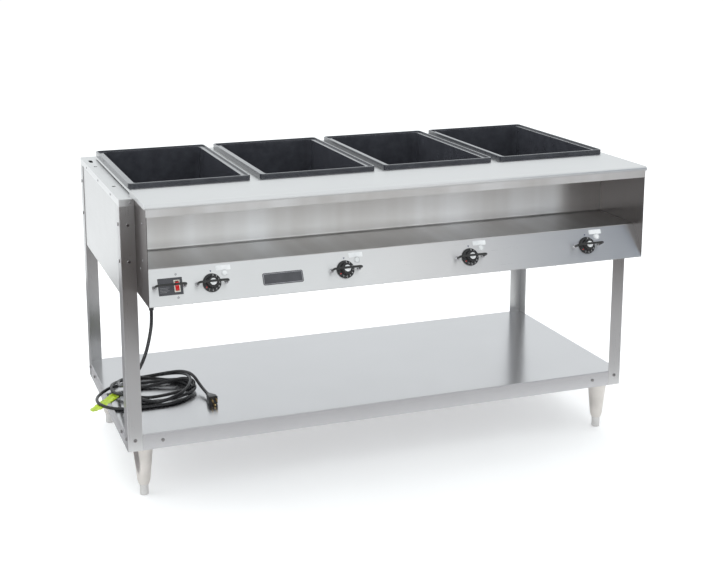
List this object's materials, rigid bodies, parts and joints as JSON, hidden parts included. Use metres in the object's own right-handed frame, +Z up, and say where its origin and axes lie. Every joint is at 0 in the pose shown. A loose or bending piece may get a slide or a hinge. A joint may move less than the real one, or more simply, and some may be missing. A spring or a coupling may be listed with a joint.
{
  "type": "steam table",
  "caption": "Electric hot food table: stainless body on angle legs with sealed wells in its top, a plate rest, an open dish shelf, a sloping control panel and an undershelf",
  "frame": {"origin": "on the floor, under the middle of the table without its cord", "axes": "+X along the table to the right as the operator sees it, +Y to the back, +Z up"},
  "size_m": [1.6419, 0.8268, 0.8884],
  "materials": {
    "leg_steel": "satin",
    "foot_metal": "satin",
    "foot_insert": "satin",
    "shelf_steel": "satin",
    "body_steel": "satin",
    "well_black": "gloss",
    "element_steel": "satin",
    "fastener_steel": "satin",
    "guard_rod": "satin",
    "knob_black": "gloss",
    "inner_plastic": "matte",
    "lamp_lens": "gloss",
    "label_white": "satin",
    "plate_grey": "satin",
    "bezel_cream": "satin",
    "rocker_red": "gloss",
    "cord_rubber": "satin",
    "prong_brass": "satin",
    "tag_yellow": "satin"
  },
  "bodies": {
    "root": {"leg_front_left": "leg_steel", "leg_front_right": "leg_steel", "leg_rear_left": "leg_steel", "leg_rear_right": "leg_steel", "foot_body_front_left": "foot_metal", "foot_body_front_right": "foot_metal", "foot_body_rear_left": "foot_metal", "foot_body_rear_right": "foot_metal", "undershelf": "shelf_steel", "corner_gussets": "shelf_steel", "deck_top": "body_steel", "apron_left": "body_steel", "apron_right": "body_steel", "rear_panel": "body_steel", "bottom_pan": "body_steel", "cheek_left": "body_steel", "cheek_right": "body_steel", "dish_shelf": "body_steel", "control_panel": "body_steel", "control_box_pan": "body_steel", "front_rail": "body_steel", "plate_rest": "body_steel", "well_1": "well_black", "well_2": "well_black", "well_3": "well_black", "well_4": "well_black", "heating_element_1": "element_steel", "heating_element_2": "element_steel", "heating_element_3": "element_steel", "heating_element_4": "element_steel", "element_pans": "element_steel", "frame_bolts": "fastener_steel", "deck_screws": "fastener_steel", "panel_screws": "fastener_steel", "knob_guards": "guard_rod", "switch_guard": "guard_rod", "thermostats": "inner_plastic", "terminal_block": "inner_plastic", "pilot_lamps": "lamp_lens", "label_plates": "label_white", "switch_plate": "plate_grey", "badge_plate": "plate_grey", "switch_bezel": "bezel_cream", "cord_gland": "cord_rubber", "cord_drop": "cord_rubber", "cord_coil": "cord_rubber", "cord_tail": "cord_rubber", "plug": "cord_rubber", "plug_prongs": "prong_brass", "cord_tag": "tag_yellow"},
    "foot_insert_front_left_body": {"foot_insert_front_left": "foot_insert"},
    "foot_insert_front_right_body": {"foot_insert_front_right": "foot_insert"},
    "foot_insert_rear_left_body": {"foot_insert_rear_left": "foot_insert"},
    "foot_insert_rear_right_body": {"foot_insert_rear_right": "foot_insert"},
    "knob_1_body": {"knob_1": "knob_black"},
    "knob_2_body": {"knob_2": "knob_black"},
    "knob_3_body": {"knob_3": "knob_black"},
    "knob_4_body": {"knob_4": "knob_black"},
    "rocker_body": {"switch_rocker": "rocker_red"}
  },
  "joints": [
    {"name": "knob_1_turn", "type": "hinge", "parent": "root", "child": "knob_1_body", "pos_m": [-0.5625, -0.38145, 0.65101], "axis": [0, 0.8992, -0.4376], "range_deg": [0, 300]},
    {"name": "knob_2_turn", "type": "hinge", "parent": "root", "child": "knob_2_body", "pos_m": [-0.1875, -0.38145, 0.65101], "axis": [0, 0.8992, -0.4376], "range_deg": [0, 300]},
    {"name": "knob_3_turn", "type": "hinge", "parent": "root", "child": "knob_3_body", "pos_m": [0.1875, -0.38145, 0.65101], "axis": [0, 0.8992, -0.4376], "range_deg": [0, 300]},
    {"name": "knob_4_turn", "type": "hinge", "parent": "root", "child": "knob_4_body", "pos_m": [0.5625, -0.38145, 0.65101], "axis": [0, 0.8992, -0.4376], "range_deg": [0, 300]},
    {"name": "rocker_tilt", "type": "hinge", "parent": "root", "child": "rocker_body", "pos_m": [-0.6562, -0.37746, 0.65007], "axis": [-1, 0, 0], "range_deg": [0, 18]},
    {"name": "foot_front_left_adjust", "type": "slide", "parent": "root", "child": "foot_insert_front_left_body", "axis": [0, 0, -1], "range_m": [0, 0.025]},
    {"name": "foot_front_right_adjust", "type": "slide", "parent": "root", "child": "foot_insert_front_right_body", "axis": [0, 0, -1], "range_m": [0, 0.025]},
    {"name": "foot_rear_left_adjust", "type": "slide", "parent": "root", "child": "foot_insert_rear_left_body", "axis": [0, 0, -1], "range_m": [0, 0.025]},
    {"name": "foot_rear_right_adjust", "type": "slide", "parent": "root", "child": "foot_insert_rear_right_body", "axis": [0, 0, -1], "range_m": [0, 0.025]}
  ]
}
